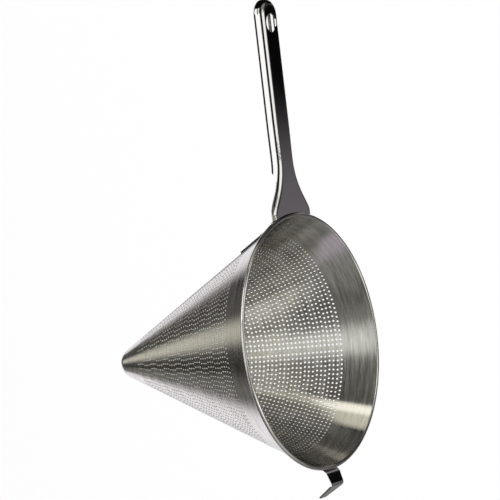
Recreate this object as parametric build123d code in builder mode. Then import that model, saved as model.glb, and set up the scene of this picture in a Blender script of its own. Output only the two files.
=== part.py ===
"""A chinois strainer: a perforated steel cone with a channel handle and a pot hook.

The part stands with its mouth up. Its origin is the centre of the mouth, level with the
top of the rim. +Z goes up out of the cone, the handle points along -X and the hook along +X.
"""
from build123d import *
from math import acos, asin, cos, degrees, pi, radians, sin, tan
import os

# Cone: the rolled sheet, its rim bead and its nose
rim_diameter = 200.0
bead_diameter = 3.3
cone_sheet = 0.8
cone_half_angle = 26.85
nose_radius = 12.75
curl_mouth = 0.25
wire_clearance = 0.1

# Seam that closes the rolled cone
seam_width = 1.6
seam_azimuth = 81.4

# Perforation: slants are measured down the outside of the wall from the level of the rim
hole_diameter = 1.6
hole_pitch = 3.7
ring_pitch = 3.28
first_ring_slant = 29.4
last_ring_slant = 169.0
rings_in_group = 3
seam_gap_share = 1.42

# The sheet has about 3800 holes. Here one ring in four is drilled, with one hole in four on it.
ring_stride = 4
hole_stride = 4

# Handle: a stamped channel with curled lips
handle_azimuth = 180
handle_sheet = 1.2
handle_reach = 166.0
handle_width = 24.0
handle_neck_width = 23.2
handle_root_width = 57.0
handle_neck_reach = 42.0
handle_grip_reach = 75.0
handle_depth = 9.2
handle_root_depth = 3.8
handle_rise_angle = 2.5
handle_drop = 0.5
shoulder_radius = 4.6
lip_radius = 3.0
lip_width = 3.4
lip_end_reach = 28.5
hanging_hole_diameter = 14.7
hanging_hole_to_end = 18.6

# Feet of the handle and the hook, which are formed to the wall and spot welded
handle_foot_slant = 46.5
handle_foot_corner = 12.5
hook_foot_slant = 25.0
foot_bend_depth = 2.6
foot_bend_radius = 1.6
weld_gap = 0.15
bead_gap = 0.3

# Hook: a bent strip
hook_azimuth = 0
hook_sheet = 1.2
hook_width = 21.0
hook_bend_width = 18.0
hook_tip_width = 8.0
hook_leg_start = 2.0
hook_leg_drop = 0.75
hook_leg_run = 10.6
hook_leg_rise = 3.05
hook_tip_run = 9.0
hook_tip_fall = 15.4
hook_bend_radius = 3.2
hook_tip_corner = 3.2

# Spot welds
spot_diameter = 4.2
spot_slant = 14.5
lower_spot_slant = 21.0
handle_spot_spacing = 11.0
handle_spot_count = 4
lower_spot_count = 2
hook_spot_spacing = 9.0
hook_spot_count = 2

# Overrun of every cutting shape
overrun = 2.0

# Shares of the neck reach, and of the swell behind it, where the handle's side curves pull
flare_shares = (0.19, 0.43)
swell_shares = (0.40, 0.45)

# Sizes and places that follow from the ones above
half_angle = radians(cone_half_angle)
rim_radius = rim_diameter / 2
bead_radius = bead_diameter / 2
bead_inner_radius = bead_radius - cone_sheet
wire_radius = bead_inner_radius - wire_clearance
hole_radius = hole_diameter / 2
spot_radius = spot_diameter / 2
bead_centre = (rim_radius - bead_radius, -bead_radius)
# The bead is tangent to the inner face of the wall, which fixes the outer face as well
mouth_radius = bead_centre[0] - bead_inner_radius / cos(half_angle) - bead_centre[1] * tan(half_angle)
apex_depth = mouth_radius / tan(half_angle)
nose_centre = (0, nose_radius / sin(half_angle) - apex_depth)
nose_inner_radius = nose_radius - cone_sheet
foot_radius = rim_radius + bead_gap
drill_length = cone_sheet + 2 * overrun


def wall_point(slant, lift=0):
    """Radius and height of a point on the outer face of the wall, or lifted off it outward."""
    radius = mouth_radius - slant * sin(half_angle) + lift * cos(half_angle)
    height = -slant * cos(half_angle) - lift * sin(half_angle)
    return radius, height


def wall_plane(slant, azimuth):
    """A plane on the outer face of the wall, facing outward."""
    radius, height = wall_point(slant)
    turn = radians(azimuth)
    outward = (cos(half_angle) * cos(turn), cos(half_angle) * sin(turn), -sin(half_angle))
    return Plane(origin=(radius * cos(turn), radius * sin(turn), height), z_dir=outward)


def polar_point(centre, distance, angle):
    """A point at a distance and an angle in degrees from a centre."""
    turn = radians(angle)
    return centre[0] + distance * cos(turn), centre[1] + distance * sin(turn)


def ramp_foot(start):
    """Where a ramp that falls inward at 45 degrees from a start point meets a foot's face."""
    lifted = wall_point(0, weld_gap)
    lead = start[0] - lifted[0] - (start[1] - lifted[1]) * tan(half_angle)
    fall = lead / (1 - tan(half_angle))
    return start[0] - fall, start[1] - fall


# Section of the cone, from the inner face of the nose over the rim and back down outside
curl_start = 180 - cone_half_angle
curl_sweep = 360 - degrees(acos((bead_inner_radius - curl_mouth) / bead_radius))
curl_end = curl_start - curl_sweep
nose_sweep = 90 - cone_half_angle

with BuildPart() as cone_blank:
    with BuildSketch(Plane.XZ):
        with BuildLine():
            CenterArc(nose_centre, nose_inner_radius, -90, nose_sweep)
            Line(
                polar_point(nose_centre, nose_inner_radius, -cone_half_angle),
                polar_point(bead_centre, bead_radius, curl_start),
            )
            CenterArc(bead_centre, bead_radius, curl_start, -curl_sweep)
            Line(
                polar_point(bead_centre, bead_radius, curl_end),
                polar_point(bead_centre, bead_inner_radius, curl_end),
            )
            CenterArc(bead_centre, bead_inner_radius, curl_end, curl_sweep)
            Line(
                polar_point(bead_centre, bead_inner_radius, curl_start),
                polar_point(nose_centre, nose_radius, -cone_half_angle),
            )
            CenterArc(nose_centre, nose_radius, -cone_half_angle, -nose_sweep)
            Line(
                polar_point(nose_centre, nose_radius, -90),
                polar_point(nose_centre, nose_inner_radius, -90),
            )
        make_face()
    revolve(axis=Axis.Z)

# Space of the seam: a slot of even width down one side, from under the bead to the nose
seam_top = -bead_diameter - cone_sheet
with BuildPart() as seam_space:
    with BuildSketch(Plane.XY.offset(nose_centre[1])):
        with Locations(polar_point((0, 0), rim_radius / 2, seam_azimuth)):
            Rectangle(rim_radius, seam_width, rotation=seam_azimuth)
    extrude(amount=seam_top - nose_centre[1])


def hole_rings():
    """Slant and hole count of every ring. The rings of a group have one count."""
    ring_count = int((last_ring_slant - first_ring_slant) / ring_pitch) + 1
    rings = []
    for ring in range(ring_count):
        group = (ring + rings_in_group - 1) // rings_in_group
        last_in_group = min(group * rings_in_group, ring_count - 1)
        girth = 2 * pi * wall_point(first_ring_slant + last_in_group * ring_pitch)[0]
        rings.append((first_ring_slant + ring * ring_pitch, round(girth / hole_pitch)))
    return rings


hole_planes = []
for slant, count in hole_rings()[::ring_stride]:
    step = 360 / (count - 1 + seam_gap_share)
    for hole in range(hole_stride // 2, count, hole_stride):
        hole_planes.append(wall_plane(slant, seam_azimuth + step * (seam_gap_share / 2 + hole)))


def spot_row(azimuth, slant, count, spacing):
    """Planes of a row of spot welds, centred on an azimuth."""
    step = degrees(spacing / wall_point(slant)[0])
    first = azimuth - step * (count - 1) / 2
    return [wall_plane(slant, first + step * spot) for spot in range(count)]


handle_spots = [
    *spot_row(handle_azimuth, spot_slant, handle_spot_count, handle_spot_spacing),
    *spot_row(handle_azimuth, lower_spot_slant, lower_spot_count, handle_spot_spacing),
]
hook_spots = spot_row(hook_azimuth, spot_slant, hook_spot_count, hook_spot_spacing)
weld_reach = lower_spot_slant + spot_diameter

with BuildPart() as strainer_cone:
    add(cone_blank.part)
    add(seam_space.part, mode=Mode.SUBTRACT)
    with Locations(*[plane.location for plane in hole_planes]):
        Cylinder(hole_radius, drill_length, mode=Mode.SUBTRACT)
    with Locations(*[plane.location for plane in handle_spots + hook_spots]):
        Cylinder(spot_radius, drill_length, mode=Mode.SUBTRACT)

with BuildPart() as side_seam_weld:
    add(cone_blank.part)
    add(seam_space.part, mode=Mode.INTERSECT)

# Wire that the rim is curled round
with BuildPart() as rim_wire:
    with BuildSketch(Plane.XZ):
        with Locations(bead_centre):
            Circle(wire_radius)
    revolve(axis=Axis.Z)

# Inner face of the handle's foot: down past the bead, in to the wall, then along the wall
foot_end = wall_point(handle_foot_slant, weld_gap)
bead_bypass = (foot_radius, -bead_radius - foot_bend_depth / 2)
handle_foot_line = [(foot_radius, -handle_drop), bead_bypass, ramp_foot(bead_bypass), foot_end]

# Space inside that face, which the handle stays out of
with BuildPart() as cone_space:
    with BuildSketch(Plane.XZ):
        with BuildLine():
            Polyline(
                (0, rim_radius), (foot_radius, rim_radius), *handle_foot_line[1:],
                (0, foot_end[1]), close=True,
            )
        make_face()
    revolve(axis=Axis.Z)

# Handle, in a plane of its own: local X runs out along the handle, and local Z is up
rise = radians(handle_rise_angle)
handle_plane = Plane(
    origin=(-rim_radius, 0, -handle_drop),
    x_dir=(-cos(rise), 0, sin(rise)),
    z_dir=(sin(rise), 0, cos(rise)),
)
side_plane = Plane(origin=handle_plane.origin, x_dir=handle_plane.x_dir, z_dir=(0, 1, 0))
root_reach = rim_radius - foot_end[0]
lip_cut_depth = handle_depth - handle_root_depth + overrun


def channel_plan(inset, back):
    """Plan of the channel, moved in by an inset all round, from behind the root to the end."""
    root = handle_root_width / 2 - inset
    neck = handle_neck_width / 2 - inset
    grip = handle_width / 2 - inset
    swell = handle_grip_reach - handle_neck_reach
    end_centre = handle_reach - handle_width / 2
    with BuildSketch() as plan:
        with BuildLine():
            Polyline((-back, 0), (-back, root), (0, root))
            Bezier(
                (0, root),
                (handle_neck_reach * flare_shares[0], root),
                (handle_neck_reach * flare_shares[1], neck),
                (handle_neck_reach, neck),
            )
            Bezier(
                (handle_neck_reach, neck),
                (handle_neck_reach + swell * swell_shares[0], neck),
                (handle_neck_reach + swell * swell_shares[1], grip),
                (handle_grip_reach, grip),
            )
            Line((handle_grip_reach, grip), (end_centre, grip))
            CenterArc((end_centre, 0), grip, 90, -90)
            mirror(about=Plane.XZ)
        make_face()
    return plan.sketch


# Foot of the handle: a plate formed round the cone, as wide as the root, with rounded corners
foot_side = (handle_root_width - handle_sheet) / 2
foot_sweep = 2 * degrees(asin((foot_side + overrun) / foot_end[0]))
foot_turn = radians(handle_azimuth - foot_sweep / 2)
foot_plane = Plane(
    origin=(0, 0, 0),
    x_dir=(cos(foot_turn), sin(foot_turn), 0),
    z_dir=(sin(foot_turn), -cos(foot_turn), 0),
)
foot_top = -handle_drop - handle_sheet / 2

with BuildPart() as handle_foot:
    with BuildSketch(foot_plane):
        with BuildLine():
            foot = Polyline(*handle_foot_line)
            fillet(foot.vertices()[1:-1], foot_bend_radius)
            offset(amount=handle_sheet, side=Side.LEFT, closed=True)
        make_face()
    revolve(axis=Axis.Z, revolution_arc=foot_sweep)
    with BuildSketch(Plane.YZ):
        with BuildLine():
            outline = Polyline(
                (0, foot_top), (foot_side, foot_top), (foot_side, foot_end[1]), (0, foot_end[1])
            )
            fillet(outline.vertices()[1], shoulder_radius - handle_sheet / 2)
            fillet(outline.vertices()[-2], handle_foot_corner)
            mirror(about=Plane.YZ)
        make_face()
    extrude(amount=-rim_diameter, mode=Mode.INTERSECT)

with BuildPart() as channel_hollow:
    with BuildSketch(handle_plane.offset(-handle_sheet)):
        add(channel_plan(handle_sheet, root_reach + overrun))
    extrude(amount=2 * handle_sheet - handle_depth)
    hollow_top = channel_hollow.faces().filter_by(handle_plane).sort_by(Axis.Z)[-1]
    fillet(hollow_top.edges().sort_by(Axis.X)[:-1], shoulder_radius - handle_sheet)
    hollow_bottom = channel_hollow.faces().filter_by(handle_plane).sort_by(Axis.Z)[0]
    fillet(hollow_bottom.edges().sort_by(Axis.X)[:-1], lip_radius - handle_sheet)

with BuildPart() as handle:
    with BuildSketch(handle_plane):
        add(channel_plan(0, root_reach))
    extrude(amount=-handle_depth)
    channel_top = handle.faces().filter_by(handle_plane).sort_by(Axis.Z)[-1]
    fillet(channel_top.edges().sort_by(Axis.X)[:-1], shoulder_radius)
    channel_bottom = handle.faces().filter_by(handle_plane).sort_by(Axis.Z)[0]
    fillet(channel_bottom.edges().sort_by(Axis.X)[:-1], lip_radius)
    add(channel_hollow.part, mode=Mode.SUBTRACT)
    # The mouth between the curled lips
    with BuildSketch(handle_plane.offset(-handle_depth - overrun)):
        add(channel_plan(lip_width, root_reach + overrun))
    extrude(amount=handle_sheet + 2 * overrun, mode=Mode.SUBTRACT)
    # Near the root the lips end and the side walls are shallower
    with BuildSketch(side_plane):
        with BuildLine():
            Polyline(
                (-root_reach - overrun, -handle_root_depth),
                (lip_end_reach, -handle_root_depth),
                (lip_end_reach + lip_cut_depth, -handle_root_depth - lip_cut_depth),
                (-root_reach - overrun, -handle_root_depth - lip_cut_depth),
                close=True,
            )
        make_face()
    extrude(amount=handle_root_width, both=True, mode=Mode.SUBTRACT)
    with BuildSketch(handle_plane.offset(overrun)):
        with Locations((handle_reach - hanging_hole_to_end, 0)):
            Circle(hanging_hole_diameter / 2)
    extrude(amount=-handle_sheet - 2 * overrun, mode=Mode.SUBTRACT)
    add(cone_space.part, mode=Mode.SUBTRACT)
    add(handle_foot.part)
    with Locations(*[plane.location for plane in handle_spots]):
        Cylinder(spot_radius, drill_length, mode=Mode.SUBTRACT)

# Hook: a foot on the wall, a ramp past the bead, a rising leg and a falling tip
leg_start = (rim_radius + hook_leg_start, -hook_leg_drop)
leg_end = (leg_start[0] + hook_leg_run, leg_start[1] + hook_leg_rise)
tip_end = (leg_end[0] + hook_tip_run, leg_end[1] - hook_tip_fall)
ramp_start = ramp_foot(leg_start)
foot_top_slant = -ramp_start[1] / cos(half_angle) - hook_sheet
mouth_point = wall_point(0, weld_gap)
hook_foot_end = wall_point(hook_foot_slant, weld_gap)

with BuildPart() as hook:
    with BuildSketch(Plane.XZ):
        with BuildLine():
            strip = Polyline(hook_foot_end, ramp_start, leg_start, leg_end, tip_end)
            fillet(strip.vertices()[1:-1], hook_bend_radius)
            offset(amount=hook_sheet, side=Side.RIGHT, closed=True)
        make_face()
        # The foot starts deeper on its inner side, and is then cut to the curve of the wall
        with BuildLine():
            Polyline(
                wall_point(hook_foot_slant, -cone_sheet),
                wall_point(foot_top_slant, -cone_sheet),
                wall_point(foot_top_slant, weld_gap + hook_sheet / 2),
                wall_point(hook_foot_slant, weld_gap + hook_sheet / 2),
                close=True,
            )
        make_face()
    extrude(amount=hook_width / 2, both=True)
    with BuildSketch(Plane.XY.offset(-rim_radius)):
        with BuildLine():
            plan = Polyline(
                (0, -hook_width / 2),
                (rim_radius, -hook_width / 2),
                (leg_end[0], -hook_bend_width / 2),
                (tip_end[0] + overrun / 2, -hook_tip_width / 2),
                (tip_end[0] + overrun / 2, hook_tip_width / 2),
                (leg_end[0], hook_bend_width / 2),
                (rim_radius, hook_width / 2),
                (0, hook_width / 2),
                close=True,
            )
        make_face()
        fillet(plan.vertices().group_by(Axis.X)[-1], hook_tip_corner)
    extrude(amount=rim_diameter, mode=Mode.INTERSECT)
    with BuildSketch(Plane.XZ):
        with BuildLine():
            Polyline((0, mouth_point[1]), mouth_point, hook_foot_end, (0, hook_foot_end[1]), close=True)
        make_face()
    revolve(axis=Axis.Z, mode=Mode.SUBTRACT)
    with Locations(*[plane.location for plane in hook_spots]):
        Cylinder(spot_radius, drill_length, mode=Mode.SUBTRACT)


def spot_welds(spots, sheet):
    """The welds at the given planes, through the cone and one sheet that lies on it."""
    with BuildPart() as welds:
        with Locations(*[plane.location for plane in spots]):
            Cylinder(spot_radius, drill_length)
        with BuildSketch(Plane.XZ):
            with BuildLine():
                Polyline(
                    wall_point(0, -cone_sheet),
                    wall_point(weld_reach, -cone_sheet),
                    wall_point(weld_reach, weld_gap + sheet),
                    wall_point(0, weld_gap + sheet),
                    close=True,
                )
            make_face()
        revolve(axis=Axis.Z, mode=Mode.INTERSECT)
    return welds


handle_spot_welds = spot_welds(handle_spots, handle_sheet)
hook_spot_welds = spot_welds(hook_spots, hook_sheet)

os.makedirs("parts", exist_ok=True)

strainer_cone.part.label = "strainer_cone"
export_step(strainer_cone.part, "parts/strainer_cone.step")
side_seam_weld.part.label = "side_seam_weld"
export_step(side_seam_weld.part, "parts/side_seam_weld.step")
rim_wire.part.label = "rim_wire"
export_step(rim_wire.part, "parts/rim_wire.step")
handle.part.label = "handle"
export_step(handle.part, "parts/handle.step")
handle_spot_welds.part.label = "handle_spot_welds"
export_step(handle_spot_welds.part, "parts/handle_spot_welds.step")
hook.part.label = "hook"
export_step(hook.part, "parts/hook.step")
hook_spot_welds.part.label = "hook_spot_welds"
export_step(hook_spot_welds.part, "parts/hook_spot_welds.step")
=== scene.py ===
"""Looks of the chinois strainer, in metres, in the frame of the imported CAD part."""
from math import acos, asin, cos, degrees, pi, radians, sin, sqrt, tan

import bmesh
import bpy
import numpy as np
from mathutils import Matrix, Vector


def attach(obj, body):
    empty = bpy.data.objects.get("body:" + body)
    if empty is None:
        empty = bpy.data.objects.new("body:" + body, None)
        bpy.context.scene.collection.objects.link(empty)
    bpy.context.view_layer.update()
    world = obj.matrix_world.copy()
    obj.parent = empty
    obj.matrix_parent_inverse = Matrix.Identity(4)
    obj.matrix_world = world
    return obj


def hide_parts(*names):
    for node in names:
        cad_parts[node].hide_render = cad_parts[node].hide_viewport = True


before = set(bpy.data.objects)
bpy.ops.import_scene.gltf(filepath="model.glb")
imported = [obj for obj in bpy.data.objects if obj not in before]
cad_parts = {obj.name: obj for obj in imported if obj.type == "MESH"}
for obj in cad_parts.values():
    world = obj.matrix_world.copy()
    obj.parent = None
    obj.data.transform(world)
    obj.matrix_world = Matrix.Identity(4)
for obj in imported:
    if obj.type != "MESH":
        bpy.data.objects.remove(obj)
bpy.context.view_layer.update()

scene = bpy.context.scene
scene.view_settings.view_transform = "Standard"

# Sizes of the CAD part, in millimetres and degrees. A slant is a distance down the wall from the mouth.
# Each row of spot welds has its slant and its number of welds.
MM = 0.001
rim_diameter = 200.0
bead_diameter = 3.3
cone_sheet = 0.8
cone_half_angle = 26.85
nose_radius = 12.75
curl_mouth = 0.25
seam_width = 1.6
seam_azimuth = 81.4
hole_diameter = 1.6
hole_pitch = 3.7
ring_pitch = 3.28
first_ring_slant = 29.4
last_ring_slant = 169.0
rings_in_group = 3
seam_gap_share = 1.42
foot_sheet = 1.2
weld_gap = 0.15
spot_diameter = 4.2
handle_azimuth = 180
handle_spot_pitch = 11.0
handle_spot_rows = ((14.5, 4), (21.0, 2))
hook_azimuth = 0
hook_spot_pitch = 9.0
hook_spot_rows = ((14.5, 2),)

# What follows from them
full_turn = 2 * pi
half_angle = radians(cone_half_angle)
rim_radius = rim_diameter / 2
bead_radius = bead_diameter / 2
bead_inner_radius = bead_radius - cone_sheet
bead_centre = (rim_radius - bead_radius, -bead_radius)
bead_slant = -(bead_centre[1] + bead_inner_radius * sin(half_angle)) / cos(half_angle)
curl_start = pi - half_angle
curl_sweep = full_turn - acos((bead_inner_radius - curl_mouth) / bead_radius)
mouth_radius = bead_centre[0] - bead_inner_radius / cos(half_angle) - bead_centre[1] * tan(half_angle)
apex_depth = mouth_radius / tan(half_angle)
nose_centre_height = nose_radius / sin(half_angle) - apex_depth
nose_slant = (
    (apex_depth * cos(half_angle) + mouth_radius * sin(half_angle)) - nose_radius / tan(half_angle)
)
tip_slant = nose_slant + nose_radius * (pi / 2 - half_angle)
seam_top = -bead_diameter - cone_sheet
seam_turn = radians(seam_azimuth)
seam_side = np.array([-sin(seam_turn), cos(seam_turn), 0.0])

# How finely the meshes are divided
hole_sides = 9
bead_outer_steps = 18
bead_inner_steps = 12
nose_steps = 8
strip_half_height = 0.2
seam_rows = 60
seam_columns = 5
spot_sides = 28
spot_ring_shares = (0.45, 0.8, 1.0)

# Form of the spot welds' two faces: how far they stand proud, their dimple, and the edge that is sharp
spot_proud = 0.03
spot_dimple = 0.05
spot_sharp_angle = 40.0

# UV map. Each face of the cone's sheet is unrolled into a rectangle of its own.
map_name = "OFBake"
map_margin = 0.006
map_turn_width = 0.98
map_turn_slack = 0.2
map_length = 222.0
map_height = 0.48
map_length_start = -12.0
map_layer_step = 0.5
hole_wall_map_share = 0.55
edge_map_shift = 0.003
slot_map_turn = 0.01
slot_map_lengths = np.array([-9.0, -8.0, -8.0, -9.0])
curl_end_map_lengths = np.array([-10.5, -11.0, -11.0, -10.5])
seam_map_left = 0.05
seam_map_half_width = 0.1
seam_map_bottom = 0.02
seam_map_height = 0.96
seam_edge_map = np.array([[0.3, 0.1], [0.35, 0.1], [0.35, 0.9], [0.3, 0.9]])
seam_end_map_shift = 0.1

# The two faces of the cone's sheet, how far each lies off the outer one, and the side it looks to
OUTER, INNER = LAYERS = 0, 1
LIFTS = (0.0, -cone_sheet)
SIDES = (1.0, -1.0)


def new_object(name, data):
    """A new object in the scene."""
    piece = bpy.data.objects.new(name, data)
    scene.collection.objects.link(piece)
    return piece


class Sheet:
    """Points of a mesh with the normal and map place of each, and its faces.

    The faces that close a row of the cone across the seam wait in closing, until their map places are set.
    """

    def __init__(self):
        self.points, self.normals, self.places = [], [], []
        self.faces, self.closing = [], []
        self.count = 0

    def add(self, points, normals, places):
        """Adds points and returns their numbers."""
        first = self.count
        self.points.append(points.reshape(-1, 3))
        self.normals.append(np.broadcast_to(normals, points.shape).reshape(-1, 3))
        self.places.append(places.reshape(-1, 2))
        self.count += points.size // 3
        return np.arange(first, self.count).reshape(points.shape[:-1])

    def face(self, corners, normals=None, places=None):
        """Adds faces, a row of corners each. Without normals or places, those of the points are used."""
        self.faces.append((corners.reshape(-1, corners.shape[-1]), normals, places))

    def build(self, name):
        """Makes the Blender object."""
        points, normals = np.concatenate(self.points), np.concatenate(self.normals)
        places = np.concatenate(self.places)
        faces, corner_normals, corner_places = [], [], []
        for corners, own_normals, own_places in self.faces:
            faces += corners.tolist()
            if own_normals is None:
                own_normals = normals[corners]
            if own_places is None:
                own_places = places[corners]
            corner_normals.append(np.broadcast_to(own_normals, corners.shape + (3,)).reshape(-1, 3))
            corner_places.append(own_places.reshape(-1, 2))
        mesh = bpy.data.meshes.new(name)
        mesh.from_pydata((points * MM).tolist(), [], faces)
        layer = mesh.uv_layers.new(name=map_name)
        layer.uv.foreach_set("vector", np.concatenate(corner_places).astype(np.float32).ravel())
        mesh.shade_smooth()
        mesh.normals_split_custom_set(np.concatenate(corner_normals).tolist())
        return new_object(name, mesh)


def wall_point(slant, lift=0.0):
    """Radius and height of a point on the outer face of the wall, or lifted off it outward."""
    radius = mouth_radius - slant * sin(half_angle) + lift * cos(half_angle)
    height = -slant * cos(half_angle) - lift * sin(half_angle)
    return radius, height


def wall_slant(height, lift):
    """Slant at which the wall, or a face lifted off it, is at a height."""
    return (-height - lift * sin(half_angle)) / cos(half_angle)


def ring_points(radius, height, turns):
    """Points round the axis. Turns are measured from the seam."""
    turns = turns + seam_turn
    return np.stack([radius * np.cos(turns), radius * np.sin(turns), height + 0 * turns], -1)


def map_places(turns, length, layer):
    """Places on the unrolled map of one face of the sheet."""
    across = map_margin + map_turn_width * turns / (full_turn + map_turn_slack)
    along = map_margin + map_height * (length - map_length_start) / map_length + layer * map_layer_step
    return np.stack([across + 0 * along, along + 0 * across], -1)


def edge_turn(radius):
    """Turn from the seam's middle to its edge."""
    return asin(seam_width / 2 / radius)


def open_turns(turns, radius):
    """Turns of a row's points, with the first and the last moved to the seam's edges."""
    edge = edge_turn(radius)
    return np.concatenate([[edge], turns[1:-1], [full_turn - edge]])


def wall_normals(turns, layer):
    """Normals of one face of the wall."""
    return SIDES[layer] * ring_points(cos(half_angle), -sin(half_angle), turns)


def wall_row(sheet, slant, turns, layer):
    """A row of points across one face of the wall. Gives their numbers and their turns."""
    radius, height = wall_point(slant, LIFTS[layer])
    turns = open_turns(turns, radius)
    points = ring_points(radius, height, turns)
    return sheet.add(points, wall_normals(turns, layer), map_places(turns, slant, layer)), turns


def sided(corners, layer):
    """Corners turned so that the face looks out of its side of the sheet."""
    return corners if layer == OUTER else corners[..., ::-1]


def sided_places(places, layer):
    """Map places of corners, turned in the same way."""
    return places if layer == OUTER else places[..., ::-1, :]


def ladder(sheet, upper, lower, layer, closed):
    """Four-cornered faces between two rows with the same number of points."""
    sheet.face(sided(np.stack([upper[:-1], lower[:-1], lower[1:], upper[1:]], -1), layer))
    if closed:
        sheet.closing.append((np.array([[upper[-1], lower[-1], lower[0], upper[0]]]), layer))


def strip(sheet, upper, upper_turns, lower, lower_turns, layer):
    """Triangles between two rows whose numbers of points differ."""
    faces, high, low = [], 0, 0
    while high < len(upper) - 1 or low < len(lower) - 1:
        at_end = low == len(lower) - 1
        if at_end or (high < len(upper) - 1 and upper_turns[high + 1] < lower_turns[low + 1]):
            faces.append([upper[high], lower[low], upper[high + 1]])
            high += 1
        else:
            faces.append([upper[high], lower[low], lower[low + 1]])
            low += 1
    sheet.face(sided(np.array(faces), layer))


def slot_end(sheet, corners, side, layer):
    """The small face that closes the sheet's thickness at one end of the seam's slot."""
    places = map_places(np.full(4, slot_map_turn), slot_map_lengths, layer)
    sheet.face(np.array([corners]), np.array([0.0, 0.0, side]), places)


def cell_pattern():
    """Triangles of a four-cornered cell with a round hole. Its corners come first, from the upper left."""
    square = [(-1, 1), (1, 1), (1, -1), (-1, -1)]
    spots = square + [
        (cos(full_turn * side / hole_sides) / 2, sin(full_turn * side / hole_sides) / 2)
        for side in range(hole_sides)
    ]
    quarter_corner = (1, 0, 3, 2)
    owners = [quarter_corner[int(4 * (side + 0.5) / hole_sides)] for side in range(hole_sides)]
    triangles = []
    for side in range(hole_sides):
        here, ahead = 4 + side, 4 + (side + 1) % hole_sides
        triangles.append([owners[side], here, ahead])
        if owners[side - 1] != owners[side]:
            triangles.append([owners[side - 1], owners[side], here])
    pattern = []
    for a, b, c in triangles:
        (ax, ay), (bx, by), (cx, cy) = spots[a], spots[b], spots[c]
        area = (bx - ax) * (cy - ay) - (cx - ax) * (by - ay)
        pattern.append([a, b, c] if area > 0 else [a, c, b])
    return np.array(pattern)


def hole_rings():
    """Slant and hole count of every ring. The rings of a group have one count."""
    ring_count = int((last_ring_slant - first_ring_slant) / ring_pitch) + 1
    rings = []
    for ring in range(ring_count):
        group = (ring + rings_in_group - 1) // rings_in_group
        last_in_group = min(group * rings_in_group, ring_count - 1)
        girth = full_turn * wall_point(first_ring_slant + last_in_group * ring_pitch)[0]
        rings.append((first_ring_slant + ring * ring_pitch, round(girth / hole_pitch)))
    return rings


def cell_turns(count):
    """Turns of the borders between a ring's cells, and the width of a cell as a turn."""
    step = full_turn / (count - 1 + seam_gap_share)
    return step * (seam_gap_share / 2 - 0.5 + np.arange(count + 1)), step


def add_band(sheet, turns, edges):
    """The plain band under the rim. Gives the top row and the bottom row of each face of the sheet."""
    rows = []
    for layer in LAYERS:
        bead_row, _ = wall_row(sheet, bead_slant, turns, layer)
        slot_row, _ = wall_row(sheet, wall_slant(seam_top, LIFTS[layer]), turns, layer)
        ladder(sheet, bead_row, slot_row, layer, closed=True)
        rows.append((bead_row, slot_row))
    outer, inner = rows[OUTER][1], rows[INNER][1]
    edges.append((outer, inner))
    slot_end(sheet, [outer[0], outer[-1], inner[-1], inner[0]], -1.0, OUTER)
    return rows


def add_wall(sheet, rings, above, edges):
    """The perforated wall, ring by ring. Above holds the row over it and its turns, for each layer."""
    pattern = cell_pattern()
    ahead = np.roll(np.arange(hole_sides), -1)
    # A polygon with the area of the round hole
    spread = sqrt(full_turn / (hole_sides * sin(full_turn / hole_sides)))
    hole_turns = np.arange(hole_sides) * full_turn / hole_sides
    hole_x = spread * hole_diameter / 2 * np.cos(hole_turns)
    hole_y = spread * hole_diameter / 2 * np.sin(hole_turns)
    counts = [count for _, count in rings]
    for number, (slant, count) in enumerate(rings):
        is_first, is_last = number == 0, number == len(rings) - 1
        # A strip of triangles leads from one group of rings to the next
        new_group = not is_first and count != counts[number - 1]
        group_ends = not is_last and count != counts[number + 1]
        high = slant - ring_pitch / 2 + strip_half_height * new_group
        low = slant + ring_pitch / 2 - strip_half_height * group_ends
        turns, step = cell_turns(count)
        centres = (step * (seam_gap_share / 2 + np.arange(count)))[:, None]
        tops, lows, rims, places = [], [], [], []
        for layer in LAYERS:
            radius = wall_point(slant, LIFTS[layer])[0]
            top, top_turns = above[layer]
            if is_first or new_group:
                row_above, turns_above = top, top_turns
                top, top_turns = wall_row(sheet, high, turns, layer)
                if is_first:
                    ladder(sheet, row_above, top, layer, closed=False)
                else:
                    strip(sheet, row_above, turns_above, top, top_turns, layer)
                tops.append(top)
            bottom, bottom_turns = wall_row(sheet, low, turns, layer)
            above[layer] = (bottom, bottom_turns)
            lows.append(bottom)
            around = centres + hole_x / radius
            slants = slant - hole_y + 0 * around
            radii = radius - (slants - slant) * sin(half_angle)
            points = ring_points(1, 0, around) * radii[..., None]
            points[..., 2] = wall_point(0, LIFTS[layer])[1] - slants * cos(half_angle)
            places.append(map_places(around, slants, layer))
            rims.append(sheet.add(points, wall_normals(around, layer), places[layer]))
            cells = np.stack([top[:-1], top[1:], bottom[1:], bottom[:-1]], -1)
            cells = np.concatenate([cells, rims[layer]], -1)
            sheet.face(sided(cells[:, pattern], layer))
        if tops:
            edges.append(tops)
        edges.append(lows)
        # The sides of the holes, which lie inside their outlines on the map
        outer, inner = rims
        sideways = ring_points(1, 0, centres + pi / 2)
        upward = ring_points(sin(half_angle), cos(half_angle), centres)
        inward = -np.cos(hole_turns)[:, None] * sideways - np.sin(hole_turns)[:, None] * upward
        near = places[OUTER]
        middle = map_places(centres, slant, OUTER)
        deep = middle + hole_wall_map_share * (near - middle)
        sheet.face(
            np.stack([outer, outer[:, ahead], inner[:, ahead], inner], -1),
            np.stack([inward, inward[:, ahead], inward[:, ahead], inward], 2).reshape(-1, 4, 3),
            np.stack([near, near[:, ahead], deep[:, ahead], deep], 2),
        )


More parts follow.
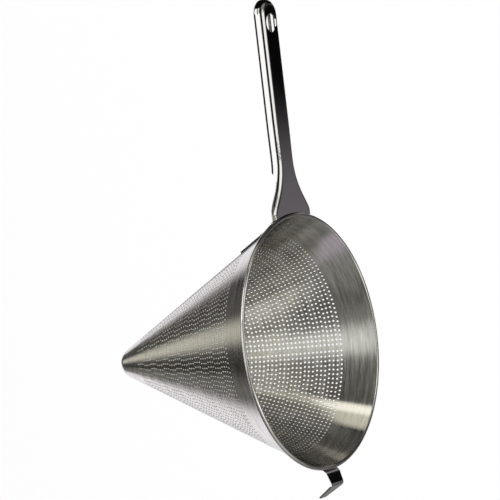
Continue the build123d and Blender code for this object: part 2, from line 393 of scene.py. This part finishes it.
def add_nose(sheet, above, turns, edges):
    """The plain band over the nose, and the round nose, whose last faces meet in a point."""
    last_length = tip_slant - nose_radius * (pi / 2 - half_angle) / nose_steps
    slots = []
    for layer in LAYERS:
        slot_row, _ = wall_row(sheet, wall_slant(nose_centre_height, LIFTS[layer]), turns, layer)
        ladder(sheet, above[layer][0], slot_row, layer, closed=False)
        slots.append(slot_row)
        row, row_turns = wall_row(sheet, nose_slant, turns, layer)
        ladder(sheet, slot_row, row, layer, closed=True)
        radius = nose_radius + LIFTS[layer]
        for step in range(1, nose_steps):
            lean = half_angle + (pi / 2 - half_angle) * step / nose_steps
            next_row = sheet.add(
                ring_points(radius * cos(lean), nose_centre_height - radius * sin(lean), row_turns),
                ring_points(SIDES[layer] * cos(lean), -SIDES[layer] * sin(lean), row_turns),
                map_places(row_turns, nose_slant + nose_radius * (lean - half_angle), layer),
            )
            ladder(sheet, row, next_row, layer, closed=True)
            row = next_row
        tip = sheet.add(
            np.array([[0.0, 0.0, nose_centre_height - radius]]),
            np.array([[0.0, 0.0, -SIDES[layer]]]),
            map_places(np.array([pi]), tip_slant, layer),
        )
        all_turns = np.append(row_turns, row_turns[0] + full_turn)
        places = np.stack([
            map_places(all_turns[:-1], last_length, layer),
            map_places((all_turns[:-1] + all_turns[1:]) / 2, tip_slant, layer),
            map_places(all_turns[1:], last_length, layer),
        ], 1)
        corners = np.stack([row, np.full(len(row), tip[0]), np.roll(row, -1)], -1)
        sheet.face(sided(corners, layer), None, sided_places(places, layer))
    outer, inner = slots
    edges.append((outer, inner))
    slot_end(sheet, [outer[0], inner[0], inner[-1], outer[-1]], 1.0, INNER)


def add_bead(sheet, band_rows, first_turns):
    """The rolled rim: the sheet's inner face becomes the bead's outside, and its outer face the inside."""
    ends = {}
    for layer, radius, steps in (
        (INNER, bead_radius, bead_outer_steps), (OUTER, bead_inner_radius, bead_inner_steps)
    ):
        row = band_rows[layer][0]
        side = -SIDES[layer]
        turns = open_turns(first_turns, wall_point(bead_slant, LIFTS[layer])[0])
        for step in range(1, steps + 1):
            lean = curl_start - curl_sweep * step / steps
            next_row = sheet.add(
                ring_points(bead_centre[0] + radius * cos(lean), bead_centre[1] + radius * sin(lean), turns),
                ring_points(side * cos(lean), side * sin(lean), turns),
                map_places(turns, bead_slant - radius * (curl_start - lean), layer),
            )
            ladder(sheet, next_row, row, layer, closed=True)
            row = next_row
        ends[layer] = np.append(row, row[0])
    # The sheet's edge at the end of the curl
    lean = curl_start - curl_sweep
    normals = ring_points(sin(lean), -cos(lean), turns)
    normals = np.concatenate([normals, normals[:1]])
    turns = np.append(turns, turns[0] + full_turn)
    outer, inner = ends[OUTER], ends[INNER]
    sheet.face(
        np.stack([inner[:-1], outer[:-1], outer[1:], inner[1:]], -1),
        np.stack([normals[:-1], normals[:-1], normals[1:], normals[1:]], 1),
        map_places(
            np.stack([turns[:-1], turns[:-1], turns[1:], turns[1:]], -1), curl_end_map_lengths, OUTER
        ),
    )


def close_sheet(sheet, edges):
    """Faces that close a row across the seam, and the sheet's two edges along the slot."""
    places = np.concatenate(sheet.places)
    turn_shift = np.array([map_turn_width * full_turn / (full_turn + map_turn_slack), 0.0])
    for corners, layer in sheet.closing:
        own = places[corners]
        own[:, 2:] += turn_shift
        sheet.face(sided(corners, layer), None, sided_places(own, layer))
    for (outer_up, inner_up), (outer_down, inner_down) in zip(edges[:-1], edges[1:]):
        for end, side in ((0, -1), (-1, 1)):
            corners = np.array([[outer_up[end], inner_up[end], inner_down[end], outer_down[end]]])
            corners = corners[:, ::-side]
            own = places[corners]
            is_inner = own[..., 1] > map_layer_step
            own[..., 1] %= map_layer_step
            own[is_inner, 0] += edge_map_shift * side
            sheet.face(corners, side * seam_side, own)


def build_cone():
    """The perforated cone with its rolled rim and its nose, from one folded sheet."""
    sheet, edges = Sheet(), []
    rings = hole_rings()
    first_turns, last_turns = cell_turns(rings[0][1])[0], cell_turns(rings[-1][1])[0]
    band_rows = add_band(sheet, first_turns, edges)
    above = [(slot_row, first_turns) for _, slot_row in band_rows]
    add_wall(sheet, rings, above, edges)
    add_nose(sheet, above, last_turns, edges)
    add_bead(sheet, band_rows, first_turns)
    close_sheet(sheet, edges)
    return sheet.build("cone_sheet_metal")


def build_seam():
    """The flush weld that closes the sheet, from under the bead to the nose."""
    sheet = Sheet()
    shares = np.linspace(-1, 1, seam_columns)
    grids = []
    for layer in LAYERS:
        start, end = (wall_slant(height, LIFTS[layer]) for height in (seam_top, nose_centre_height))
        across = seam_map_left + map_layer_step * layer + seam_map_half_width * (shares + 1)
        grid = []
        for share in np.linspace(0, 1, seam_rows):
            radius, height = wall_point(start + (end - start) * share, LIFTS[layer])
            turns = edge_turn(radius) * shares
            along = seam_map_bottom + seam_map_height * share + 0 * shares
            points = ring_points(radius, height, turns)
            grid.append(sheet.add(points, wall_normals(turns, layer), np.stack([across, along], -1)))
        grid = np.array(grid)
        sheet.face(sided(np.stack([grid[:-1, :-1], grid[1:, :-1], grid[1:, 1:], grid[:-1, 1:]], -1), layer))
        grids.append(grid)
    outer, inner = grids
    for column, side in ((0, -1), (-1, 1)):
        corners = np.stack([outer[:-1, column], inner[:-1, column], inner[1:, column], outer[1:, column]], -1)
        places = np.broadcast_to(seam_edge_map + [map_layer_step * (column == 0), 0], corners.shape + (2,))
        sheet.face(corners[:, ::-side], side * seam_side, places)
    for row, side in ((0, 1), (-1, -1)):
        corners = np.stack([outer[row, :-1], outer[row, 1:], inner[row, 1:], inner[row, :-1]], -1)
        places = np.broadcast_to(seam_edge_map + [seam_end_map_shift, 0], corners.shape + (2,))
        sheet.face(corners[:, ::side], np.array([0.0, 0.0, side]), places)
    return sheet.build("seam_bead")


def spot_places(azimuth, rows, spacing):
    """Azimuth and slant of every weld, in rows centred on an azimuth. A row is its slant and its count."""
    places = []
    for slant, count in rows:
        step = degrees(spacing / wall_point(slant)[0])
        places += [(azimuth + step * (spot - (count - 1) / 2), slant) for spot in range(count)]
    return places


def build_spots(name, azimuth, rows, spacing):
    """One piece with all the spot welds of a foot: round plugs through the wall and the foot on it."""
    points, faces = [], []
    lifts = ((-cone_sheet - spot_proud, 1), (weld_gap + foot_sheet + spot_proud, -1))
    for spot_azimuth, slant in spot_places(azimuth, rows, spacing):
        starts = []
        for lift, inward in lifts:
            starts.append(len(points))
            for share in (0.0,) + spot_ring_shares:
                for side in range(spot_sides if share else 1):
                    angle = full_turn * side / spot_sides
                    reach = share * spot_diameter / 2
                    dip = spot_dimple * max(0.0, 1 - share / spot_ring_shares[1]) * inward
                    radius, height = wall_point(slant + reach * sin(angle), lift + dip)
                    turn = radians(spot_azimuth) + reach * cos(angle) / wall_point(slant)[0]
                    points.append((radius * cos(turn), radius * sin(turn), height))
        for start, (_, inward) in zip(starts, lifts):
            for side in range(spot_sides):
                ahead = (side + 1) % spot_sides
                fan = [start, start + 1 + side, start + 1 + ahead]
                faces.append(fan[::inward])
                for ring in range(len(spot_ring_shares) - 1):
                    near = start + 1 + ring * spot_sides
                    far = near + spot_sides
                    faces.append([near + side, far + side, far + ahead, near + ahead][::inward])
        low, high = (start + 1 + (len(spot_ring_shares) - 1) * spot_sides for start in starts)
        for side in range(spot_sides):
            ahead = (side + 1) % spot_sides
            faces.append([low + side, high + side, high + ahead, low + ahead])
    mesh = bpy.data.meshes.new(name)
    mesh.from_pydata([tuple(value * MM for value in point) for point in points], [], faces)
    mesh.shade_smooth()
    mesh.set_sharp_from_angle(angle=radians(spot_sharp_angle))
    return new_object(name, mesh)


cone = build_cone()
seam = build_seam()
handle_spots = build_spots("handle_weld_marks", handle_azimuth, handle_spot_rows, handle_spot_pitch)
hook_spots = build_spots("hook_weld_marks", hook_azimuth, hook_spot_rows, hook_spot_pitch)


# Nodes of the materials

def connect(tree, socket, value):
    """Sets a socket to a value, or links it to another node's socket."""
    if isinstance(value, bpy.types.NodeSocket):
        tree.links.new(value, socket)
    else:
        socket.default_value = value


def add_node(tree, kind, inputs=None, **settings):
    """A node with its settings and inputs. Inputs are given by name or number."""
    node = tree.nodes.new(kind)
    for name, value in settings.items():
        setattr(node, name, value)
    for name, value in (inputs or {}).items():
        connect(tree, node.inputs[name], value)
    return node


def calc(tree, operation, *values):
    """The result of a Math node."""
    return add_node(tree, "ShaderNodeMath", dict(enumerate(values)), operation=operation).outputs[0]


def square_sum(tree, first, second):
    """Sum of the squares of two values."""
    return calc(tree, "ADD", calc(tree, "MULTIPLY", first, first), calc(tree, "MULTIPLY", second, second))


def scale_range(tree, value, low, high):
    """A value from 0 to 1 brought to another range."""
    limits = {"Value": value, "To Min": low, "To Max": high}
    return add_node(tree, "ShaderNodeMapRange", limits).outputs[0]


def combine(tree, x, y, z):
    """A vector of three values."""
    return add_node(tree, "ShaderNodeCombineXYZ", {0: x, 1: y, 2: z}).outputs[0]


def noise(tree, parts, scales, detail):
    """Noise over a place, given by its parts and the scale of each."""
    vector = combine(tree, *(calc(tree, "MULTIPLY", part, scale) for part, scale in zip(parts, scales)))
    inputs = {"Vector": vector, "Scale": 1.0, "Detail": detail, "Roughness": 0.5}
    return add_node(tree, "ShaderNodeTexNoise", inputs).outputs[0]


def blend(tree, first, second, second_share):
    """Sum of two values with shares that add up to 1."""
    return calc(
        tree, "ADD",
        calc(tree, "MULTIPLY", first, 1 - second_share), calc(tree, "MULTIPLY", second, second_share),
    )


def colour_mix(tree, amount, first, second):
    """A colour between two colours or sockets, by an amount from 0 to 1."""
    node = add_node(tree, "ShaderNodeMix", {"Factor": amount}, data_type="RGBA")
    for socket, colour in zip((s for s in node.inputs if s.type == "RGBA"), (first, second)):
        connect(tree, socket, colour if isinstance(colour, bpy.types.NodeSocket) else (*colour, 1))
    return next(s for s in node.outputs if s.type == "RGBA")


def new_material(name):
    """A material with its node tree."""
    material = bpy.data.materials.new(name)
    material.use_nodes = True
    return material, material.node_tree


def new_steel(name):
    """A metal material with its tree, its shader and the parts of the place on the object."""
    material, tree = new_material(name)
    shader = tree.nodes["Principled BSDF"]
    shader.inputs["Metallic"].default_value = 1.0
    place = add_node(tree, "ShaderNodeTexCoord").outputs["Object"]
    return material, tree, shader, add_node(tree, "ShaderNodeSeparateXYZ", {0: place}).outputs


def add_bump(tree, shader, height, strength, distance):
    """Bump from a height."""
    bump = add_node(tree, "ShaderNodeBump", {"Strength": strength, "Distance": distance, "Height": height})
    connect(tree, shader.inputs["Normal"], bump.outputs[0])


# Colours of the steel. Lengths in the materials are in metres.
polished_colours = ((0.60, 0.595, 0.58), (0.70, 0.695, 0.685))
brushed_colours = ((0.42, 0.412, 0.385), (0.83, 0.82, 0.79))
weld_colours = ((0.50, 0.49, 0.47), (0.62, 0.61, 0.59))
# Painted shade: the near-black colour of the cut edges is not the steel's own colour.
painted_edge_shade_colour = (0.05, 0.048, 0.045)
cut_edge_roughness = 0.5
cut_edge_slope = 0.6
brushed_roughness = (0.09, 0.2)
brushed_anisotropy = 0.85
brushed_rotation = 0.25
fine_streak_scales = (9.0, 9.0, 1300.0)
broad_streak_scales = (3.0, 3.0, 420.0)
broad_streak_share = 0.6
streak_contrast = (0.3, 0.7)
least_radius = 0.001
cloud_scales = (60.0, 90.0, 90.0)
cloud_share = 0.5


def brushed_cone():
    """Steel brushed round the axis, with broad and fine streaks."""
    material, tree, shader, (x, y, z) = new_steel("brushed_steel")
    radius = calc(tree, "MAXIMUM", calc(tree, "SQRT", square_sum(tree, x, y)), least_radius)
    across, along = calc(tree, "DIVIDE", x, radius), calc(tree, "DIVIDE", y, radius)
    fine = noise(tree, (across, along, z), fine_streak_scales, detail=2.0)
    broad = noise(tree, (across, along, z), broad_streak_scales, detail=3.0)
    both = blend(tree, fine, broad, broad_streak_share)
    low, high = streak_contrast
    streaks = add_node(
        tree, "ShaderNodeMapRange", {"Value": both, "From Min": low, "From Max": high}
    ).outputs[0]
    connect(tree, shader.inputs["Base Color"], colour_mix(tree, streaks, *brushed_colours))
    connect(tree, shader.inputs["Roughness"], scale_range(tree, streaks, *brushed_roughness))
    shader.inputs["Anisotropic"].default_value = brushed_anisotropy
    shader.inputs["Anisotropic Rotation"].default_value = brushed_rotation
    connect(tree, shader.inputs["Tangent"], combine(tree, calc(tree, "MULTIPLY", along, -1.0), across, 0.0))
    add_bump(tree, shader, both, strength=0.25, distance=0.00004)
    return material


def polished(name, along, across, roughness, colours=polished_colours, edge_height=None):
    """Polished steel with scratches along the X axis and faint clouds. Both scales are of the scratches.

    With an edge height, the sides of the sheet under it are rougher, as cut edges are, and coloured near
    black, which is painted shade.
    """
    material, tree, shader, place = new_steel(name)
    scratches = noise(tree, place, (along, across, across), detail=3.0)
    clouds = noise(tree, place, cloud_scales, detail=2.0)
    both = blend(tree, scratches, clouds, cloud_share)
    colour, spread = colour_mix(tree, both, *colours), scale_range(tree, both, *roughness)
    if edge_height is not None:
        # Mask of the sheet's cut sides: it makes them rougher, which is real, and near black, which is
        # painted shade.
        normal = add_node(tree, "ShaderNodeNewGeometry").outputs["Normal"]
        slope = calc(tree, "ABSOLUTE", add_node(tree, "ShaderNodeSeparateXYZ", {0: normal}).outputs[1])
        edge_roughness_and_shade = calc(
            tree, "MULTIPLY",
            calc(tree, "GREATER_THAN", slope, cut_edge_slope), calc(tree, "LESS_THAN", place[2], edge_height),
        )
        # Painted shade: the cut sides under the edge height are coloured near black.
        colour = colour_mix(tree, edge_roughness_and_shade, colour, painted_edge_shade_colour)
        spread = scale_range(tree, edge_roughness_and_shade, spread, cut_edge_roughness)
    connect(tree, shader.inputs["Base Color"], colour)
    connect(tree, shader.inputs["Roughness"], spread)
    add_bump(tree, shader, scratches, strength=0.1, distance=0.00003)
    return material


cone_material = brushed_cone()
handle_material = polished(
    "polished_steel", along=40.0, across=2600.0, roughness=(0.05, 0.13), edge_height=-0.0125
)
weld_material = polished(
    "weld_steel", along=500.0, across=500.0, roughness=(0.26, 0.42), colours=weld_colours
)
wire_material = polished("wire_steel", along=300.0, across=300.0, roughness=(0.2, 0.3))

for piece, node, slot, material in (
    (cone, "strainer_cone", "cone_sheet", cone_material),
    (seam, "side_seam_weld", "weld_metal", cone_material),
    (handle_spots, "handle_spot_welds", "weld_metal", weld_material),
    (hook_spots, "hook_spot_welds", "weld_metal", weld_material),
):
    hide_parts(node)
    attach(piece, "root")
    piece.data.materials.append(material)

for node, material in (("handle", handle_material), ("hook", handle_material), ("rim_wire", wire_material)):
    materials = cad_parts[node].data.materials
    materials.clear()
    materials.append(material)

# Studio: a white room, a floor, and a tent and small cards that only the strainer's reflections show
room_level = 1.0
floor_height = -0.6
floor_half_size = 6.0
tent_radius = 2.0
tent_divisions = 5
tent_centre = (0.0, 0.0, -0.08)

# Cards: middle, half side, half rise and light of each
near_cards = [
    # over the mouth
    ((0.16, -0.12, 0.502), (0.25, 0, 0), (0, 0.36, 0), (0.36, 0.36, 0.30)),
    ((0.01, 0.05, 0.5), (0.09, 0, 0), (0, 0.05, 0), (1.75, 1.76, 1.68)),
    ((0.11, -0.265, 0.5), (0.11, 0, 0), (0, 0.05, 0), (1.10, 1.08, 0.94)),
    ((0.26, -0.07, 0.499), (0.09, 0, 0), (0, 0.24, 0), (1.60, 1.58, 1.50)),
    # light and dark before the handle
    ((-0.21, -0.26, -0.06), (0.10, 0, 0), (0, 0, 0.13), (1.50, 1.50, 1.50)),
    ((-0.219, -0.035, 0.0265), (0.091, 0, -0.0040), (0, 0, 0.0135), (0.010, 0.010, 0.010)),
    # three over the handle, from light to dark, and a dark one under it
    ((-0.215, -0.04, 0.37), (0.095, 0, 0), (0, 0.155, 0), (1.35, 1.35, 1.33)),
    ((-0.215, 0.155, 0.37), (0.095, 0, 0), (0, 0.04, 0), (0.40, 0.39, 0.40)),
    ((-0.215, 0.235, 0.37), (0.095, 0, 0), (0, 0.04, 0), (0.12, 0.11, 0.12)),
    ((-0.22, -0.13, -0.195), (0.09, 0, 0), (0, 0.13, 0), (0.010, 0.010, 0.010)),
    # dark behind the handle's end, and beyond it
    ((-0.3225, 0.10, 0), (0.0375, 0, 0), (0, 0, 0.08), (0.003, 0.003, 0.003)),
    ((-0.30, 0, -0.01), (0, 0.04, 0), (0, 0, 0.04), (0.003, 0.003, 0.003)),
]

# Patches of the tent, each over those before it: azimuth, elevation, half width, half height, softness, light
tent_base = (0.130, 0.126, 0.116)
tent_patches = [
    # dim wall on the right
    (8, 2, 58, 22, 0.35, (0.29, 0.29, 0.27)),
    (74, -20, 20, 14, 0.4, (0.24, 0.24, 0.235)),
    # dark behind and overhead, with a grey zone and a black one
    (88, 32, 24, 26, 0.25, (0.060, 0.055, 0.060)),
    (90, 66, 60, 30, 0.3, (0.03, 0.03, 0.03)),
    (81, 32, 10, 22, 0.7, (0.21, 0.19, 0.21)),
    (100, 30, 5.5, 24, 0.35, (0.002, 0.002, 0.002)),
    (108, 26, 6, 12, 0.4, (0.060, 0.055, 0.060)),
    # high lights on the left and on the right, and two patches behind on the left
    (176, 44, 22, 18, 0.4, (0.28, 0.28, 0.27)),
    (-150, 66, 15, 12, 0.4, (1.00, 1.00, 0.87)),
    (160, 74, 10, 8, 0.4, (0.62, 0.62, 0.54)),
    (4, 50, 34, 22, 0.4, (0.70, 0.70, 0.68)),
    (115, 12, 6, 12, 0.4, (0.40, 0.40, 0.39)),
    (129, 13, 9, 18, 0.3, (0.004, 0.004, 0.004)),
    # soft light from the front
    (-92, 36, 22, 22, 0.6, (0.30, 0.30, 0.28)),
    (-98, 20, 13, 14, 0.6, (0.82, 0.83, 0.79)),
    # front lights over and under a dark gap, and dark below them
    (-95, 4, 20, 15, 0.15, (1.50, 1.50, 1.50)),
    (-134, -1, 22, 9, 0.12, (1.40, 1.40, 1.38)),
    (-112, -19, 60, 9, 0.15, (0.004, 0.004, 0.004)),
    (-112, -42, 44, 17, 0.06, (1.55, 1.55, 1.55)),
    (-90, -72, 50, 10, 0.3, (0.010, 0.010, 0.010)),
    # dark zones under the cone
    (-20, -82, 4.5, 4.5, 0.6, (0.050, 0.047, 0.040)),
    (150, -66, 7, 9, 0.5, (0.085, 0.080, 0.078)),
    # low lights behind, and under the nose
    (54, -49, 24, 22, 0.18, (1.12, 1.09, 1.15)),
    (72, -38, 16, 12, 0.4, (0.90, 0.89, 0.92)),
    (117, -48, 13, 13, 0.35, (1.08, 1.05, 1.10)),
    (-168, -82, 5.2, 5.6, 0.75, (0.98, 0.95, 0.82)),
    (5, -75, 1.2, 6, 0.4, (0.35, 0.35, 0.33)),
    # warm and bright patches on the left
    (-174, 11.5, 12, 9, 0.3, (0.95, 0.92, 0.78)),
    (-166, 14, 5, 8, 0.35, (1.85, 1.80, 1.62)),
    (137, -6, 4, 7, 0.4, (0.55, 0.51, 0.38)),
    # patch on the right
    (-1, 8, 16, 7, 0.4, (0.56, 0.51, 0.58)),
]


def glow_material(name):
    """A material that only emits light, with its tree and the socket of its colour."""
    material, tree = new_material(name)
    tree.nodes.clear()
    glow = add_node(tree, "ShaderNodeEmission")
    add_node(tree, "ShaderNodeOutputMaterial", {"Surface": glow.outputs[0]})
    return material, tree, glow.inputs["Color"]


def tent_material():
    """Light of the tent by direction from its centre: soft-edged elliptical patches over a base."""
    material, tree, light_socket = glow_material("tent_cloth")
    place = add_node(tree, "ShaderNodeTexCoord").outputs["Object"]
    direction = add_node(tree, "ShaderNodeVectorMath", {0: place}, operation="NORMALIZE").outputs["Vector"]

    def facing(axis):
        inputs = {0: direction, 1: tuple(axis)}
        return add_node(tree, "ShaderNodeVectorMath", inputs, operation="DOT_PRODUCT").outputs["Value"]

    colour = tent_base
    for azimuth, elevation, half_width, half_height, softness, light in tent_patches:
        turn, rise = radians(azimuth), radians(elevation)
        middle = Vector((cos(rise) * cos(turn), cos(rise) * sin(turn), sin(rise)))
        sideways = Vector((-sin(turn), cos(turn), 0))
        across = calc(tree, "DIVIDE", facing(sideways), 2 * sin(radians(half_width) / 2))
        along = calc(tree, "DIVIDE", facing(middle.cross(sideways)), 2 * sin(radians(half_height) / 2))
        reach = calc(tree, "SQRT", square_sum(tree, across, along))
        limits = {"Value": reach, "From Min": 1 + softness, "From Max": 1 - softness}
        shape = add_node(tree, "ShaderNodeMapRange", limits, interpolation_type="SMOOTHSTEP").outputs[0]
        front = calc(tree, "GREATER_THAN", facing(middle), 0.0)
        colour = colour_mix(tree, calc(tree, "MULTIPLY", shape, front), colour, light)
    connect(tree, light_socket, colour)
    return material


def only_reflected(piece):
    """Keeps a piece of the studio out of everything but reflections."""
    piece.visible_camera = False
    piece.visible_diffuse = False
    piece.visible_transmission = False
    piece.visible_volume_scatter = False
    piece.visible_shadow = False
    return piece


def build_tent():
    """The light tent: a ball round the strainer."""
    mesh = bpy.data.meshes.new("studio_tent")
    ball = bmesh.new()
    bmesh.ops.create_icosphere(ball, subdivisions=tent_divisions, radius=tent_radius)
    ball.to_mesh(mesh)
    ball.free()
    mesh.materials.append(tent_material())
    tent = new_object("studio_tent", mesh)
    tent.location = tent_centre
    return only_reflected(tent)


def build_plate(name, side, rise, material):
    """A flat four-cornered plate round its origin."""
    mesh = bpy.data.meshes.new(name)
    mesh.from_pydata([-side - rise, side - rise, side + rise, rise - side], [], [(0, 1, 2, 3)])
    mesh.materials.append(material)
    return new_object(name, mesh)


def build_card(middle, side, rise, light):
    """Small card that only reflections see."""
    material, tree, light_socket = glow_material("card_light")
    connect(tree, light_socket, (*light, 1))
    card = build_plate("near_card", Vector(side), Vector(rise), material)
    card.location = middle
    return only_reflected(card)


def build_floor():
    """White floor. The reflections show the tent in its place."""
    material, tree = new_material("white_floor")
    shader = tree.nodes["Principled BSDF"]
    shader.inputs["Base Color"].default_value = (1, 1, 1, 1)
    shader.inputs["Roughness"].default_value = 1.0
    shader.inputs["Specular IOR Level"].default_value = 0.0
    floor = build_plate("floor", Vector((floor_half_size, 0, 0)), Vector((0, floor_half_size, 0)), material)
    floor.location.z = floor_height
    floor.visible_glossy = False
    return floor


tent, floor = build_tent(), build_floor()
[build_card(*card) for card in near_cards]

world = bpy.data.worlds.new("white_room")
scene.world = world
world.use_nodes = True
background = world.node_tree.nodes["Background"].inputs
background["Color"].default_value = (1, 1, 1, 1)
background["Strength"].default_value = room_level

# Camera: the photograph's view from the front and above, fitted to it, in degrees, millimetres and pixels
camera_azimuth = 1.4
camera_elevation = 31.985
camera_roll = -8.0416
camera_distance = 2500.0
camera_shift = (-49.170, 70.220)
image_size = 500
focal_pixels = 3239.78
sensor_width = 36.0
clip_range = (0.1, 50.0)

turn, rise, roll = radians(camera_azimuth), radians(camera_elevation), radians(camera_roll)
backward = Vector((-cos(rise) * sin(turn), -cos(rise) * cos(turn), sin(rise)))
level = Vector((-cos(turn), sin(turn), 0))
steep = level.cross(backward)
image_right = steep * cos(roll) + level * sin(roll)
image_up = -steep * sin(roll) + level * cos(roll)
camera_data = bpy.data.cameras.new("camera")
camera_data.sensor_width = sensor_width
camera_data.lens = focal_pixels * sensor_width / image_size
camera_data.clip_start, camera_data.clip_end = clip_range
camera = new_object("camera", camera_data)
camera_axes = Matrix((image_right, image_up, backward)).transposed()
place = backward * camera_distance + image_right * camera_shift[0] + image_up * camera_shift[1]
camera.matrix_world = Matrix.Translation(place * MM) @ camera_axes.to_4x4()
scene.camera = camera
